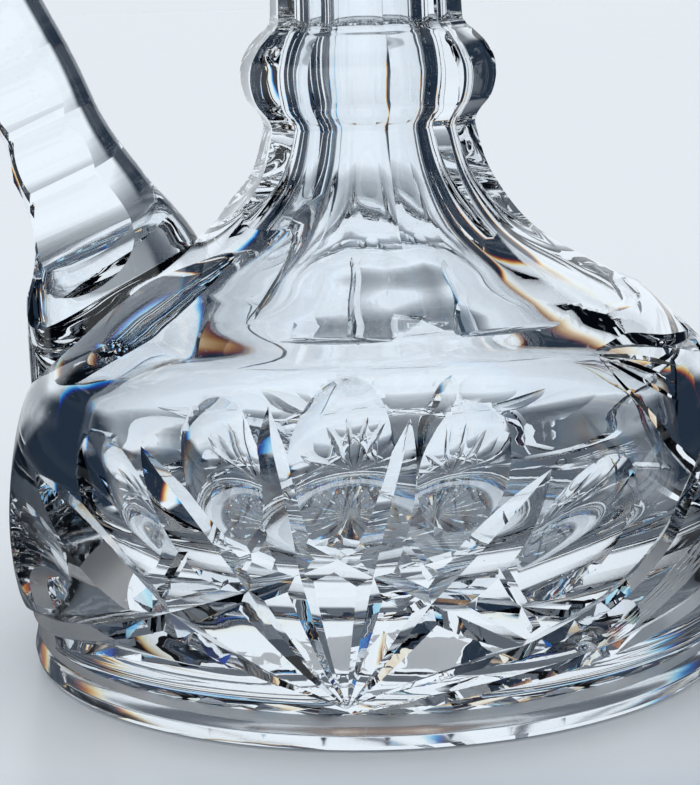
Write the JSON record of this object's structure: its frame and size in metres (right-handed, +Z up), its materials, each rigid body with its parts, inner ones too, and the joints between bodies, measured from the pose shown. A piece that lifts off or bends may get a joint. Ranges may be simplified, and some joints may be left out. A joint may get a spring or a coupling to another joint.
{
  "type": "cut glass cruet",
  "caption": "Squat round cut glass cruet with a collared neck, a pouring lip, an applied loop handle and a faceted ground stopper.",
  "frame": {"origin": "centre of the foot's underside, on the small flat at the middle of the star cut", "axes": "+Z up along the neck, +X towards the pouring lip, -X towards the handle, -Y to the front of the cut pattern"},
  "size_m": [0.1063, 0.097, 0.1393],
  "materials": {
    "body_glass": "clear polished lead glass with bright wheel cuts",
    "handle_glass": "clear polished lead glass with thumb cuts",
    "stopper_glass": "clear polished facets, with a ground satin plug"
  },
  "bodies": {
    "cruet": {"body": "body_glass", "handle": "handle_glass"},
    "stopper": {"stopper": "stopper_glass"}
  },
  "joints": [
    {"name": "stopper_lift", "type": "slide", "parent": "cruet", "child": "stopper", "axis": [0, 0, 1], "range_m": [0, 0.03]}
  ]
}
